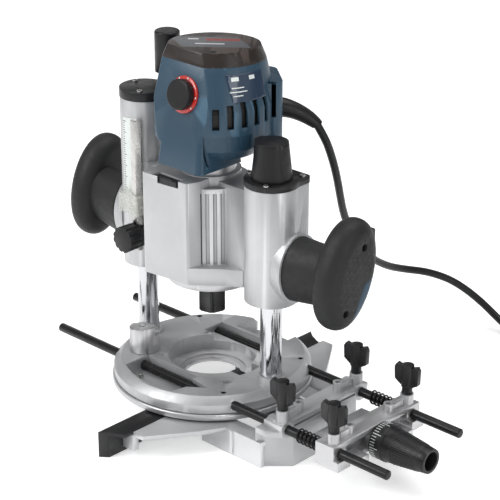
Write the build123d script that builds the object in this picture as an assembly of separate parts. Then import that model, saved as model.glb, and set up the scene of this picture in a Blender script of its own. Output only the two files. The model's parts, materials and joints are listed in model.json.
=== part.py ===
"""Plunge router on its round base, with parallel guide rods, edge fence and mains cord.

Millimetres, +Z up. The origin is on the spindle axis, in the underside of the sole.
The columns and the guide rods run along X, the fence faces along Y.
"""
from build123d import *
import math
import os

# ---- sole and base ----------------------------------------------------------
SOLE_R = 87.5
SOLE_T = 5.6
BASE_R = 86.0
RIM_Z = 14.0
DECK_Z = 20.0
DECK_R = 80.0
OPENING_R = 38.5
GUIDE_BUSH_R = 24.0
SOLE_SCREW_CIRCLE = 66.0
LEVER_Z = (6.2, 12.6)
LEVER_PIVOT = (41.5, -1.5)
LEVER_PIN_R = 1.5

# ---- columns ----------------------------------------------------------------
COLUMN_X = 74.4
COLUMN_Y = -5.5
COLUMN_R = 9.2
COLUMN_BORE_R = 6.6
COLUMN_FOOT_Z = 8.0
LEFT_COLUMN_TOP = 172.0
RIGHT_COLUMN_TOP = 131.0
RUNNING_FIT = 0.05
CLEAR = 0.3

# ---- carriage ---------------------------------------------------------------
PLUNGE = 64.0
LEFT_TOWER_Z = (90.0, 241.0)
RIGHT_TOWER_Z = (98.5, 200.0)
LEFT_TOWER_R = 20.4
RIGHT_TOWER_R = 22.5
RIGHT_FLAT_X = 94.7
BLOCK_Z = (103.0, 193.0)
BARREL_R = 33.0
NECK_R = 21.5
NECK_BORE_R = 17.5
CAP_T = 5.0
LEFT_CAP_T = 8.0
LOCK_X = 52.0
LOCK_Z = 150.0

# ---- motor ------------------------------------------------------------------
MOTOR_X = 2.5
MOTOR_Y = 2.5
MOTOR_R = 50.0
MOTOR_TOP = (42.5, 34.5)
MOTOR_TOP_TURN = 40.0
MOTOR_Z = (213.0, 290.0)
MOTOR_SHOULDER_Z = 256.0
MOTOR_WALL = 2.6
FACE_LOW = (-17.0, 35.0, -48.0, 207.0)
FACE_HIGH = (-21.0, 18.0, -28.0, 289.0)
MOTOR_CAP_Z = 301.0
CAP_SHRINK = 4.5
CAP_HOLLOW_R = 26.0
STATOR_R = 32.5
SHAFT_R = 6.0
VENTS = 6
DIAL_X = 4.5
DIAL_Z = 266.0
DIAL_R = 12.6

# ---- collet -----------------------------------------------------------------
NUT_ACROSS_FLATS = 22.2
NUT_Z = (64.3, 84.5)
SHANK_R = 4.0

# ---- handles ----------------------------------------------------------------
PALM_X = (131.0, 158.5)
PALM_Y = 4.0
PALM_Z = 139.0
PALM_HALF_LENGTH = 46.5
PALM_HALF_WIDTH = 28.5
PALM_TILT = 18.0

# ---- depth stop -------------------------------------------------------------
TURRET_X = -50.0
TURRET_Y = -34.0
TURRET_R = 13.2
TURRET_Z = (20.3, 44.0)
ROD_X = -58.7
ROD_Y = -29.7
ROD_FLATS = 8.5
ROD_Z = (111.0, 228.0)
BRACKET_Z = (117.0, 133.0)
FINE_KNOB_X = -59.5
FINE_KNOB_Y = 9.0

# ---- parallel guide ---------------------------------------------------------
GUIDE_Y = 45.7
GUIDE_Z = 12.2
GUIDE_R = 4.0
GUIDE_X = (-148.0, 236.4)
FLOOR_Z = -24.5
PLATE_Z = -1.5
INNER_X = (112.0, 131.0)
OUTER_X = (168.0, 187.0)
INNER_TOP = 18.0
OUTER_TOP = 20.0
WING_BOSS_TOP = 29.0
SCREW_BOSS_TOP = 27.0
INNER_WING_X = 125.0
OUTER_WING_X = 180.0
SCREW_BOSS_Y = 24.5
ADJUST_Y = 2.0
ADJUST_Z = 6.5
FRONT_JAW_END = -139.0
BACK_JAW_END = 124.0
JAW_X = (4.0, 11.0, 24.0)

# ---- cord -------------------------------------------------------------------
CORD_D = 7.0
CORD_LENGTH = 2500.0
CORD_EXIT = (36.0, 45.0, 243.5)
CORD_BEND = (48.0, 57.0, 238.2)
CORD_ROUTE = [
    (58.3, 66.6, 228.1),
    (62.7, 72.1, 215.7),
    (63.4, 78.4, 201.5),
    (62.1, 86.1, 185.1),
    (58.7, 94.5, 168.3),
    (53.6, 104.2, 150.3),
    (47.5, 115.7, 131.2),
    (41.9, 131.0, 109.8),
    (36.4, 150.6, 87.2),
    (31.4, 174.9, 64.8),
    (29.0, 201.6, 47.5),
    (30.8, 226.4, 36.9),
    (40.6, 249.3, 30.0),
    (57.3, 267.7, 20.0),
    (79.1, 279.8, 3.5),
    (103.6, 284.1, -14.0),
    (132.0, 277.5, -21.0),
    (157.5, 262.0, -21.0),
    (175.0, 242.0, -21.0),
]
COIL_TURN_R = 40.0
COIL_COLUMNS = 2
COIL_LAYERS = 4
COIL_TURNS = 7.97
COIL_END_R = 29.0
COIL_END_DEG = 75.0


# ---- helpers ----------------------------------------------------------------
def cyl(x, y, z0, z1, r):
    """Upright cylinder from z0 to z1."""
    return Pos(x, y, (z0 + z1) / 2) * Cylinder(r, z1 - z0)


def cyl_x(x0, x1, y, z, r):
    """Cylinder along X."""
    return Pos((x0 + x1) / 2, y, z) * Rot(0, 90, 0) * Cylinder(r, x1 - x0)


def cyl_y(x, y0, y1, z, r):
    """Cylinder along Y."""
    return Pos(x, (y0 + y1) / 2, z) * Rot(90, 0, 0) * Cylinder(r, y1 - y0)


def block(x0, x1, y0, y1, z0, z1):
    """Box between two opposite corners."""
    centre = Pos((x0 + x1) / 2, (y0 + y1) / 2, (z0 + z1) / 2)
    return centre * Box(x1 - x0, y1 - y0, z1 - z0)


def prism(points, z0, z1):
    """Upright prism on a closed outline of (x, y) points."""
    outline = make_face(Polyline(points, close=True))
    return Pos(0, 0, z0) * extrude(outline, z1 - z0)


def ring(x, y, z0, z1, outer, inner):
    """Upright tube."""
    return cyl(x, y, z0, z1, outer) - cyl(x, y, z0 - 1, z1 + 1, inner)


def hexagon(x, y, z0, z1, flats, turn=0.0):
    """Upright hexagonal bar, measured across its flats."""
    radius = flats / math.sqrt(3)
    return Pos(x, y, z0) * Rot(0, 0, turn) * extrude(RegularPolygon(radius, 6), z1 - z0)


def cap_screw(x, y, z_head, head_r, head_h, shank_r, shank_h):
    """Screw standing on z_head, with its shank below and a hexagon socket."""
    screw = cyl(x, y, z_head, z_head + head_h, head_r)
    screw += cyl(x, y, z_head - shank_h, z_head, shank_r)
    return screw - hexagon(x, y, z_head + head_h * 0.4, z_head + head_h + 1, head_r)


def coil_spring(x, y, z0, z1, mean_r, wire_r, turns):
    """Compression spring with its axis along Z."""
    height = z1 - z0 - 2 * wire_r
    path = Helix(height / turns, height, mean_r)
    profile = Plane(path @ 0, z_dir=path % 0) * Circle(wire_r)
    return Pos(x, y, z0 + wire_r) * sweep(profile, path)


def save(name, shape):
    """Write one sub-part, as one STEP file named after its node."""
    solids = shape.solids()
    body = solids[0] if len(solids) == 1 else Compound(children=list(solids))
    export_step(body, f"parts/{name}.step")


# ---- base -------------------------------------------------------------------
def sub_base():
    plate = cyl(0, 0, 0, SOLE_T, SOLE_R)
    plate = fillet(plate.edges(), 1.6)
    plate -= cyl(0, 0, -1, SOLE_T + 1, GUIDE_BUSH_R)
    plate -= ring(0, 0, SOLE_T - 1.6, SOLE_T + 1, GUIDE_BUSH_R + 5, GUIDE_BUSH_R - 1)
    for x, y in sole_screw_places():
        plate -= cyl(x, y, -1, SOLE_T + 1, 2.2)
        plate -= cyl(x, y, -1, 2.6, 4.4)
    return plate


def sole_screw_places():
    """Four screws on one circle, clear of the rods and columns."""
    turns = [math.radians(a) for a in (65, 155, 245, 335)]
    return [(SOLE_SCREW_CIRCLE * math.cos(a), SOLE_SCREW_CIRCLE * math.sin(a)) for a in turns]


def sub_base_screws():
    screws = []
    for x, y in sole_screw_places():
        head = cyl(x, y, 0.6, 2.6, 4.2)
        screws.append(head + cyl(x, y, 2.6, 12.0, 2.0))
    return Compound(children=screws)


def front_pocket():
    outline = [(-39, -40.5), (21.5, -40.5), (21.5, -46), (43, -49), (28, -60), (24, -80), (-39, -80)]
    return prism(outline, 9.0, DECK_Z + 1) & cyl(0, 0, 5, DECK_Z + 2, 77.5)


def rear_pocket():
    """Well round the rear rod, with the deck in front of it cut lower."""
    well = block(-39, 36, 40.5, 50.5, 7.5, DECK_Z + 1)
    return well + block(-39, 36, 28, 41, 13.5, DECK_Z + 1)


def base_casting():
    foot = cyl(0, 0, SOLE_T, SOLE_T + 0.9, BASE_R - 1.6)
    rim = cyl(0, 0, SOLE_T + 0.9, RIM_Z, BASE_R)
    bevel = Pos(0, 0, (RIM_Z + DECK_Z) / 2) * Cone(BASE_R, DECK_R, DECK_Z - RIM_Z)
    casting = foot + rim + bevel
    casting += cyl(COLUMN_X, COLUMN_Y, SOLE_T + 1, DECK_Z + 8.5, 11.6)
    casting += cyl(-COLUMN_X, COLUMN_Y, SOLE_T + 1, DECK_Z + 3.5, 12.5)
    casting -= cyl(0, 0, 0, DECK_Z + 5, OPENING_R)
    casting -= front_pocket()
    casting -= rear_pocket()
    casting -= block(-24, 30, 54, 95, 0, DECK_Z + 5)
    for side in (-1, 1):
        casting -= cyl(side * COLUMN_X, COLUMN_Y, COLUMN_FOOT_Z, DECK_Z + 20, COLUMN_R + 0.02)
        casting -= cyl_x(-95, 95, side * GUIDE_Y, GUIDE_Z, GUIDE_R + RUNNING_FIT)
    casting -= cyl(TURRET_X, TURRET_Y, DECK_Z - 3, DECK_Z + 1, 3.0)
    for x, y, r in ((47, -30, 2.1), (47, 34, 2.1), (-33, 26, 2.1), (-30, -32, 1.6)):
        casting -= cyl(x, y, SOLE_T + 3, DECK_Z + 1, r)
    casting -= cyl(47, -30, DECK_Z - 3, DECK_Z + 1, 4.0)
    for x, y in sole_screw_places():
        casting -= cyl(x, y, SOLE_T - 1, 12.2, 2.02)
    for x, y in set_screw_places():
        casting -= cyl(x, y, GUIDE_Z, DECK_Z + 1, 2.52)
    casting -= template_lever_seat()
    return casting + template_lever_pin()


def set_screw_places():
    return [(-62, GUIDE_Y), (62, GUIDE_Y), (58, -GUIDE_Y)]


def base_set_screws():
    screws = []
    for x, y in set_screw_places():
        z0 = GUIDE_Z + GUIDE_R + CLEAR
        screw = cyl(x, y, z0, DECK_Z - 0.6, 2.5)
        screws.append(screw - hexagon(x, y, DECK_Z - 2.2, DECK_Z, 2.4))
    return Compound(children=screws)


def template_lever_seat():
    """Notch in the deck that the lever swings in."""
    return ring(0, 0, SOLE_T - 1, DECK_Z + 1, 48.0, 30.0) & block(30, 60, -14, 10, 0, DECK_Z + 1)


def template_lever():
    """Catch for a guide bush: a flat lever turning on an upright pin of the casting."""
    outline = [(24.8, -9), (25.2, 6.5), (31, 3.5), (45, 3.5), (45, -6.5), (31, -13)]
    lever = prism(outline, *LEVER_Z)
    return lever - cyl(*LEVER_PIVOT, 0, 20, LEVER_PIN_R + RUNNING_FIT)


def template_lever_pin():
    return cyl(*LEVER_PIVOT, SOLE_T + CLEAR, LEVER_Z[1] + 2, LEVER_PIN_R)


def column(side, top):
    tube = cyl(side * COLUMN_X, COLUMN_Y, COLUMN_FOOT_Z, top, COLUMN_R)
    tube -= cyl(side * COLUMN_X, COLUMN_Y, COLUMN_FOOT_Z + 6, top + 1, COLUMN_BORE_R)
    return chamfer(tube.edges().group_by(Axis.Z)[-1], 0.8)


def plunge_spring(side, top):
    z0 = COLUMN_FOOT_Z + 6.0
    return coil_spring(side * COLUMN_X, COLUMN_Y, z0, top, 5.0, 0.9, 12)


# ---- stop turret ------------------------------------------------------------
def stop_turret():
    """Stepped wheel: eight steps climb in equal rises round a knurled drum."""
    z0, z1 = TURRET_Z
    first = z0 + 15.7
    rise = (z1 - first) / 7
    drum = cyl(TURRET_X, TURRET_Y, z0, first, TURRET_R)
    wedge = make_face(Polyline([(0, 0), (20, 0), (20, 19.9)], close=True))
    for step in range(1, 8):
        turned = Pos(TURRET_X, TURRET_Y, first - 0.5) * Rot(0, 0, 45 * step)
        sector = turned * extrude(wedge, rise * step + 0.5)
        drum += sector & cyl(TURRET_X, TURRET_Y, z0, z1 + 1, TURRET_R)
    drum -= cyl(TURRET_X, TURRET_Y, z0 - 1, z1 + 1, 3.0 + RUNNING_FIT)
    drum -= cyl(TURRET_X, TURRET_Y, first - 2.0, z1 + 1, 5.2)
    return drum


def turret_bolt():
    first = TURRET_Z[0] + 15.7
    bolt = cyl(TURRET_X, TURRET_Y, DECK_Z - 3, first, 3.0)
    bolt += cyl(TURRET_X, TURRET_Y, first - 1.7, first + 1.6, 4.8)
    return bolt - hexagon(TURRET_X, TURRET_Y, first - 0.6, first + 2, 3.4)


# ---- carriage ---------------------------------------------------------------
def right_tower(z0, z1, grow=0.0):
    r = RIGHT_TOWER_R + grow
    x1 = RIGHT_FLAT_X + grow
    tower = cyl(COLUMN_X, COLUMN_Y, z0, z1, r)
    side = block(COLUMN_X - 10, x1, COLUMN_Y - 8, 20 + grow, z0, z1)
    side = fillet(side.edges().filter_by(Axis.Z), 5)
    return tower + side


def left_tower(z0, z1, grow=0.0):
    r = LEFT_TOWER_R + grow
    tower = cyl(-COLUMN_X, COLUMN_Y, z0, z1, r)
    tower += cyl(FINE_KNOB_X, FINE_KNOB_Y, z0, z1, 10.6 + grow)
    return tower


def front_block():
    outline = [(-35.5, -47), (13, -41.5), (17, -30), (17, 0), (-35.5, 0)]
    body = prism(outline, *BLOCK_Z)
    return fillet(body.edges().filter_by(Axis.Z).sort_by(Axis.Y)[:2], 3)


def carriage_casting():
    z0, z1 = BLOCK_Z
    casting = front_block()
    casting += cyl(0, 0, z0, z1 - 7, BARREL_R)
    casting += cyl(0, 0, z1 - 8, z1 + 1, NECK_R + 4)
    apron = [(0, -41.5), (13, -41.5), (36, -22), (50, -14), (50, 10), (0, 10)]
    casting += prism(apron, z0, z0 + 15)
    casting += block(-COLUMN_X, -20, -19.2, 24, z0, z1 - 5)
    casting += block(20, COLUMN_X, -13, 24, z0, z1 - 3)
    casting += left_tower(*LEFT_TOWER_Z)
    casting += right_tower(*RIGHT_TOWER_Z)
    for side, flat_x in ((1, RIGHT_FLAT_X), (-1, COLUMN_X + 17)):
        socket = Pos(side * flat_x, 0, 131) * Rot(0, 90, 0) * extrude(Ellipse(30, 24), 5, both=True)
        casting += socket
    casting -= cyl(0, 0, z0 - 10, z1 + 10, NECK_R)
    for side, zs in ((-1, LEFT_TOWER_Z), (1, RIGHT_TOWER_Z)):
        casting -= cyl(side * COLUMN_X, COLUMN_Y, zs[0] - 1, zs[1] + 1, COLUMN_R + 2.6)
    for i in range(5):
        a = math.radians(-62 + i * 11)
        groove = cyl(BARREL_R * math.cos(a), BARREL_R * math.sin(a), z0 + 16, z1 - 11, 1.7)
        casting -= groove
    casting -= block(-24, 4, -45.0, -36, z1 - 6, z1 + 2)
    casting -= cyl(FINE_KNOB_X, FINE_KNOB_Y, LEFT_TOWER_Z[1] - 60, LEFT_TOWER_Z[1] + 1, 4.0 + CLEAR)
    for x, y, z in cap_screw_places():
        casting -= cyl(x, y, z - 14, z + 1, 1.52)
    casting -= cyl_y(LOCK_X, 10, 40, LOCK_Z, 4.0 + RUNNING_FIT)
    for side in (-1, 1):
        casting -= cyl_x(*sorted((side * 89, side * 101)), 0, 131, 6.0)
    return casting


def cap_screw_places():
    z_left = LEFT_TOWER_Z[1]
    z_right = RIGHT_TOWER_Z[1]
    left = [(-COLUMN_X + 9, COLUMN_Y - 13.0, z_left), (-COLUMN_X - 15, COLUMN_Y + 4.0, z_left)]
    right = [
        (54.6, COLUMN_Y - 4.0, z_right),
        (COLUMN_X + 10, COLUMN_Y - 17.5, z_right),
        (89.5, 15.0, z_right),
    ]
    return left + right


def cap_screws():
    screws = []
    for x, y, z in cap_screw_places():
        thick = LEFT_CAP_T if x < 0 else CAP_T
        head = z + thick - 1.5
        screws.append(cap_screw(x, y, head, 2.5, 2.6, 1.5, thick + 8))
    return Compound(children=screws)


def column_bushes():
    bushes = []
    places = [(-1, LEFT_TOWER_Z[0]), (-1, 146.0), (1, RIGHT_TOWER_Z[0])]
    for side, z0 in places:
        bore = COLUMN_R + RUNNING_FIT
        bushes.append(ring(side * COLUMN_X, COLUMN_Y, z0, z0 + 24, COLUMN_R + 2.6, bore))
    return Compound(children=bushes)


def left_cap():
    z0 = LEFT_TOWER_Z[1]
    cap = left_tower(z0, z0 + LEFT_CAP_T, 0.4)
    cap -= cyl(FINE_KNOB_X, FINE_KNOB_Y, z0 - 1, z0 + 20, 4.0 + CLEAR)
    for x, y, z in cap_screw_places()[:2]:
        cap -= cyl(x, y, z - 1, z + 20, 1.5)
        cap -= cyl(x, y, z + LEFT_CAP_T - 1.5, z + 20, 2.55)
    return cap


def right_cap():
    z0 = RIGHT_TOWER_Z[1]
    cap = right_tower(z0, z0 + CAP_T, 0.4)
    cap -= cyl(COLUMN_X, COLUMN_Y, z0 - 1, z0 + 20, 5.0 + CLEAR)
    for x, y, z in cap_screw_places()[2:]:
        cap -= cyl(x, y, z - 1, z + 20, 1.5)
        cap -= cyl(x, y, z + CAP_T - 1.5, z + 20, 2.55)
    return cap


def spring_pin(side, spring_top, cap_z):
    """Rod from the tower's cap down into the column, with a head on the spring."""
    pin = cyl(side * COLUMN_X, COLUMN_Y, spring_top, spring_top + 4, COLUMN_BORE_R - CLEAR)
    return pin + cyl(side * COLUMN_X, COLUMN_Y, spring_top + 4, cap_z, 3.0)


def spring_pins():
    left = spring_pin(-1, 150.0, LEFT_TOWER_Z[1])
    z_cap = RIGHT_TOWER_Z[1]
    right = spring_pin(1, 112.0, z_cap)
    collar = cyl(COLUMN_X, COLUMN_Y, z_cap - 4, z_cap, COLUMN_R + 2.5)
    return Compound(children=[left, right + collar])


def lower_cover():
    z0 = BLOCK_Z[0] - 7
    cover = cyl(0, 0, z0, BLOCK_Z[0], 38) & block(-34, 40, -38, 24, z0, BLOCK_Z[0])
    return cover - cyl(0, 0, z0 - 1, BLOCK_Z[0] + 1, 14.0)


def palm_pad():
    x0, x1 = PALM_X
    pad = extrude(Ellipse(PALM_HALF_LENGTH, PALM_HALF_WIDTH), x1 - x0)
    pad = fillet(pad.edges(), 13.0)
    return Pos(x0, PALM_Y, PALM_Z) * Rot(-PALM_TILT, 0, 0) * Rot(0, 90, 0) * pad


def palm(side):
    """Palm grip: a tilted oval pad on an oval neck."""
    neck_low = Plane(origin=(RIGHT_FLAT_X + 5.0, 0, 131), x_dir=(0, 0, 1), z_dir=(1, 0, 0))
    neck_high = Plane(origin=(PALM_X[0] + 8, 0, 134), x_dir=(0, 0, 1), z_dir=(1, 0, 0))
    grip = palm_pad() + loft([neck_low * Ellipse(28, 22), neck_high * Ellipse(25, 18)])
    if side < 0:
        grip = mirror(grip, Plane.YZ)
    return grip


def right_grip():
    grip = palm(1)
    grip -= switch_body(0.5) + switch_body(0.5).moved(Location((0, -4, 0)))
    grip -= inlay(1)
    for z, y in ((163.0, 12.0), (112.0, -9.0)):
        grip -= cyl_x(PALM_X[1] - 8, PALM_X[1] + 5, y, z, 3.2)
    return grip


def left_grip():
    grip = palm(-1)
    grip -= inlay(-1)
    for z, y in ((163.0, 12.0), (112.0, -9.0)):
        grip -= cyl_x(-PALM_X[1] - 5, -PALM_X[1] + 8, y, z, 3.2)
    return grip


def inlay(side):
    """Smooth insert along the grip's lower rear edge."""
    x1 = PALM_X[1]
    outline = [(8, 92), (30, 112), (36, 136), (14, 131), (0, 103)]
    face = make_face(Polyline([(0, y, z) for y, z in outline], close=True))
    body = Pos(x1 - 12, 0, 0) * extrude(face, 14, dir=(1, 0, 0))
    body &= palm_pad()
    if side < 0:
        body = mirror(body, Plane.YZ)
    return body


def switch_body(grow=0.0):
    """Trigger in the grip's upper rear edge, where the forefinger lies."""
    return block(132 - grow, 148 + grow, 22 - grow, 37.5 + grow, 152 - grow, 170 + grow)


def power_switch():
    return fillet(switch_body().edges().filter_by(Axis.X), 2.5)


def grip_inlays():
    return Compound(children=[inlay(1), inlay(-1)])


def depth_bracket():
    z0, z1 = BRACKET_Z
    body = block(ROD_X - 8, ROD_X + 8, ROD_Y - 7, ROD_Y + 8, z0, z1)
    body -= left_tower(z0 - 1, z1 + 1)
    body -= hexagon(ROD_X, ROD_Y, z0 - 1, z1 + 1, ROD_FLATS + 2 * CLEAR)
    body -= cyl_y(ROD_X, ROD_Y - 10, ROD_Y, 125.0, 2.5 + RUNNING_FIT)
    return body


def depth_scale():
    strip = ring(-COLUMN_X, COLUMN_Y, 150.0, 226.0, LEFT_TOWER_R + 0.8, LEFT_TOWER_R)
    return strip & block(-79.0, -67.5, -40, -10, 140, 240)


# ---- motor ------------------------------------------------------------------
def motor_solid(inset=0.0):
    """Outer form of the motor housing, or its hollow when inset is the wall."""
    z0, z1 = MOTOR_Z[0] + inset, MOTOR_Z[1] - inset
    r = MOTOR_R - inset
    body = cyl(MOTOR_X, MOTOR_Y, z0 + 12, MOTOR_SHOULDER_Z, r)
    body += Pos(MOTOR_X, MOTOR_Y, z0 + 6) * Cone(r - 12, r, 12)
    round_end = Pos(MOTOR_X, MOTOR_Y, MOTOR_SHOULDER_Z) * Circle(r)
    body += loft([round_end, motor_top_outline(z1, inset)])
    rear = block(0, 54 - inset, -24 + inset, 24 - inset, 222 + inset, 272 - inset)
    rear = fillet(rear.edges().filter_by(Axis.Z).sort_by(Axis.X)[-2:], 9 - inset)
    body += Pos(MOTOR_X, MOTOR_Y, 0) * Rot(0, 0, 51) * rear
    return body - in_front_of_face(inset) + leaning_face(inset)


def motor_top_outline(z, inset=0.0):
    """Oval that the round housing narrows to under its cap."""
    half_length, half_width = MOTOR_TOP
    oval = Ellipse(half_length - inset, half_width - inset)
    return Pos(MOTOR_X, MOTOR_Y, z) * Rot(0, 0, MOTOR_TOP_TURN) * oval


def leaning_face(inset=0.0):
    """Front of the housing: a block that leans back and narrows towards the cap."""
    ends = []
    for (x0, x1, y0, z), up in ((FACE_LOW, inset), (FACE_HIGH, -inset)):
        x0, x1, y0 = x0 + inset, x1 - inset, y0 + inset
        ends.append(Pos((x0 + x1) / 2, y0 / 2, z + up) * Rectangle(x1 - x0, -y0))
    body = loft(ends)
    front = [edge for edge in body.edges() if edge.length > 60 and edge.center().Y < -10]
    return fillet(front, 6 - inset)


def face_place(x, z):
    """Frame on the leaning face, with its Z axis pointing out of it."""
    run = FACE_HIGH[2] - FACE_LOW[2]
    rise = FACE_HIGH[3] - FACE_LOW[3]
    y = FACE_LOW[2] + run * (z - FACE_LOW[3]) / rise
    return Pos(x, y, z) * Rot(90 - math.degrees(math.atan2(run, rise)), 0, 0)


def in_front_of_face(inset=0.0):
    """Everything before the leaning face, to trim what stands out past it."""
    return face_place(0, 250) * block(-90, 90, -90, 90, -inset, 70)


def motor_housing():
    housing = motor_solid() - motor_solid(MOTOR_WALL)
    housing -= cyl(0, 0, 200, MOTOR_Z[0] + 5, NECK_R)
    housing -= cyl(MOTOR_X, MOTOR_Y, MOTOR_Z[1] - 3.5, MOTOR_Z[1] + 2, CAP_HOLLOW_R)
    for i in range(VENTS):
        turn = Pos(MOTOR_X, MOTOR_Y, 0) * Rot(0, 0, -44.5 + i * 14)
        housing -= turn * block(MOTOR_R - 17, MOTOR_R + 3, -2.9, 2.9, 243, 260 + i * 2.4)
    band = ring(MOTOR_X, MOTOR_Y, MOTOR_Z[0] - 1, 236.5, MOTOR_R + 2, MOTOR_R - 1.2)
    housing -= band & Pos(MOTOR_X, MOTOR_Y, 0) * Rot(0, 0, -33) * block(20, 60, -20, 20, 200, 240)
    return housing - face_place(DIAL_X, DIAL_Z) * cyl(0, 0, -6, 6, 2.5 + RUNNING_FIT)


def motor_cap():
    """Lid with a lobe over the leaning face."""
    z0 = MOTOR_Z[1]
    low = motor_top_outline(z0)
    high = motor_top_outline(MOTOR_CAP_Z, CAP_SHRINK)
    lobe = block(FACE_HIGH[0], FACE_HIGH[1] - 1, FACE_HIGH[2], 0, z0, MOTOR_CAP_Z - 1.5)
    lobe = fillet(lobe.edges().filter_by(Axis.Z).sort_by(Axis.Y)[:2], 6)
    cap = loft([low, high]) + lobe - in_front_of_face()
    return cap - cyl(MOTOR_X, MOTOR_Y, z0 - 1, MOTOR_CAP_Z - 4, CAP_HOLLOW_R)


def rating_plate():
    wedge = Pos(MOTOR_X, MOTOR_Y, 0) * Rot(0, 0, -6) * block(20, 60, -17, 17, 264, 285)
    return (wedge & motor_solid(-0.6)) - motor_solid()


def motor_neck():
    tube = ring(0, 0, BLOCK_Z[0], MOTOR_Z[0] + 4, NECK_R, NECK_BORE_R)
    return tube + ring(0, 0, BLOCK_Z[0], BLOCK_Z[0] + 3, NECK_R, SHAFT_R + 8.0)


def stator():
    core = ring(0, 0, 226, 256, STATOR_R, 23)
    for i in range(4):
        a = i * math.pi / 2
        core -= cyl(STATOR_R * math.cos(a), STATOR_R * math.sin(a), 220, 260, 2.5)
    return core + ring(0, 0, 222, 226, 31, 25) + ring(0, 0, 256, 260, 31, 25)


def spindle_bearings():
    lower = ring(0, 0, 108, 120, NECK_BORE_R, SHAFT_R + 2 + RUNNING_FIT)
    middle = ring(0, 0, 196, 206, NECK_BORE_R, SHAFT_R + RUNNING_FIT)
    upper = ring(0, 0, 279, 285, 11, SHAFT_R - 2 + RUNNING_FIT)
    return Compound(children=[lower, middle, upper])


def bearing_bridge():
    """Cross bar under the cap that carries the upper bearing and the brushes."""
    bar = block(-40, 40, -9, 9, 277, 286) & cyl(MOTOR_X, MOTOR_Y, 270, 290, 33)
    bar += cyl(0, 0, 277, 286, 15)
    bar -= cyl(0, 0, 270, 288, 11.0)
    for side in (-1, 1):
        bar += block(*sorted((side * 20, side * 30)), -6, 6, 264, 277)
        bar -= block(*sorted((side * 18, side * 32)), -4, 4, 266, 274)
    return bar


def carbon_brushes():
    brushes = [block(*sorted((side * 13.4, side * 29)), -4, 4, 266, 274) for side in (-1, 1)]
    return Compound(children=brushes)


def dial_ring():
    return face_place(DIAL_X, DIAL_Z) * ring(0, 0, 0, 2, DIAL_R + 2.6, 3.0)


def speed_dial():
    dial = cyl(0, 0, 2 + CLEAR, 9, DIAL_R)
    dial = fillet(dial.edges().group_by(Axis.Z)[-1], 1.5)
    return face_place(DIAL_X, DIAL_Z) * (dial + cyl(0, 0, -4.5, 2.5, 2.5))


def strain_relief():
    """Curved, tapered bend guard from the housing to the first point of the cord's route."""
    root, bend, tip = Vector(*CORD_EXIT), Vector(*CORD_BEND), Vector(*CORD_ROUTE[0])
    leaving = (Vector(*CORD_ROUTE[1]) - tip).normalized()
    entering = (bend - root + Vector(0, 0, 4)).normalized()
    guard = loft([
        Plane(origin=root - entering * 6, z_dir=entering) * Circle(8.6),
        Plane(origin=root + entering * 3, z_dir=entering) * Circle(8.2),
        Plane(origin=bend, z_dir=(tip - root).normalized()) * Circle(6.8),
        Plane(origin=tip, z_dir=leaving) * Circle(5.0),
    ])
    return guard - motor_solid()


# ---- spindle ----------------------------------------------------------------
def spindle_shaft():
    shaft = cyl(0, 0, NUT_Z[1] - 12, 100, 8.0)
    shaft += cyl(0, 0, 100, 130, SHAFT_R + 2)
    shaft += cyl(0, 0, 130, 270, SHAFT_R)
    shaft += cyl(0, 0, 270, 286, SHAFT_R - 2)
    shaft += cyl(0, 0, 87, 92, 11)
    return shaft - cyl(0, 0, 60, 100, 5.6)


def rotor():
    core = cyl(0, 0, 225, 257, 22)
    core += cyl(0, 0, 222, 225, 17)
    core += cyl(0, 0, 262, 274, 13)
    for i in range(12):
        a = math.radians(30 * i)
        core -= cyl(22 * math.cos(a), 22 * math.sin(a), 224, 258, 1.5)
    core += cyl(0, 0, 257, 262, 10)
    core -= cyl(0, 0, 210, 270, SHAFT_R)
    return core - cyl(0, 0, 269, 280, SHAFT_R - 2)


def fan():
    wheel = cyl(0, 0, 217.6, 219.2, 30)
    for i in range(12):
        wheel += Rot(0, 0, 30 * i) * block(12, 29, -0.7, 0.7, 217.6, 221.2)
    wheel += cyl(0, 0, 217.6, 220, 10)
    return wheel - cyl(0, 0, 200, 230, SHAFT_R)


def collet():
    body = cyl(0, 0, NUT_Z[0] + 2.0, NUT_Z[0] + 26, 5.6)
    return body - cyl(0, 0, 60, 100, SHANK_R)


def collet_nut():
    z0, z1 = NUT_Z
    nut = hexagon(0, 0, z0, z1, NUT_ACROSS_FLATS, -46.4)
    nut &= Pos(0, 0, (z0 + z1) / 2) * chamfer(Cylinder(12.8, z1 - z0).edges(), 1.0)
    nut -= cyl(0, 0, z0 - 1, z0 + 8.2, 5.6)
    return nut - cyl(0, 0, z0 + 8.2, z1 + 1, 8.0)


# ---- depth stop moving pieces -----------------------------------------------
def depth_rod():
    z0, z1 = ROD_Z
    rod = hexagon(ROD_X, ROD_Y, z0 + 7, z1, ROD_FLATS)
    return rod + cyl(ROD_X, ROD_Y, z0, z0 + 7, 3.6)


def depth_pointer():
    """Clear slider on the rod, reaching over the scale."""
    body = block(ROD_X - 16, ROD_X + 8, ROD_Y - 7.5, ROD_Y + 7, 145.0, 162.0)
    body -= left_tower(140, 170, 0.8 + CLEAR)
    return body - hexagon(ROD_X, ROD_Y, 140, 170, ROD_FLATS + 0.3)


def depth_clamp_knob():
    y1 = ROD_Y - 7 - CLEAR
    knob = cyl_y(ROD_X, y1 - 12, y1, 125.0, 11.5)
    for i in range(12):
        a = math.radians(30 * i)
        knob -= cyl_y(ROD_X + 12.3 * math.cos(a), y1 - 13, y1 + 1, 125 + 12.3 * math.sin(a), 1.7)
    return knob + cyl_y(ROD_X, y1, ROD_Y - ROD_FLATS / 2 - 0.8, 125.0, 2.5)


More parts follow.
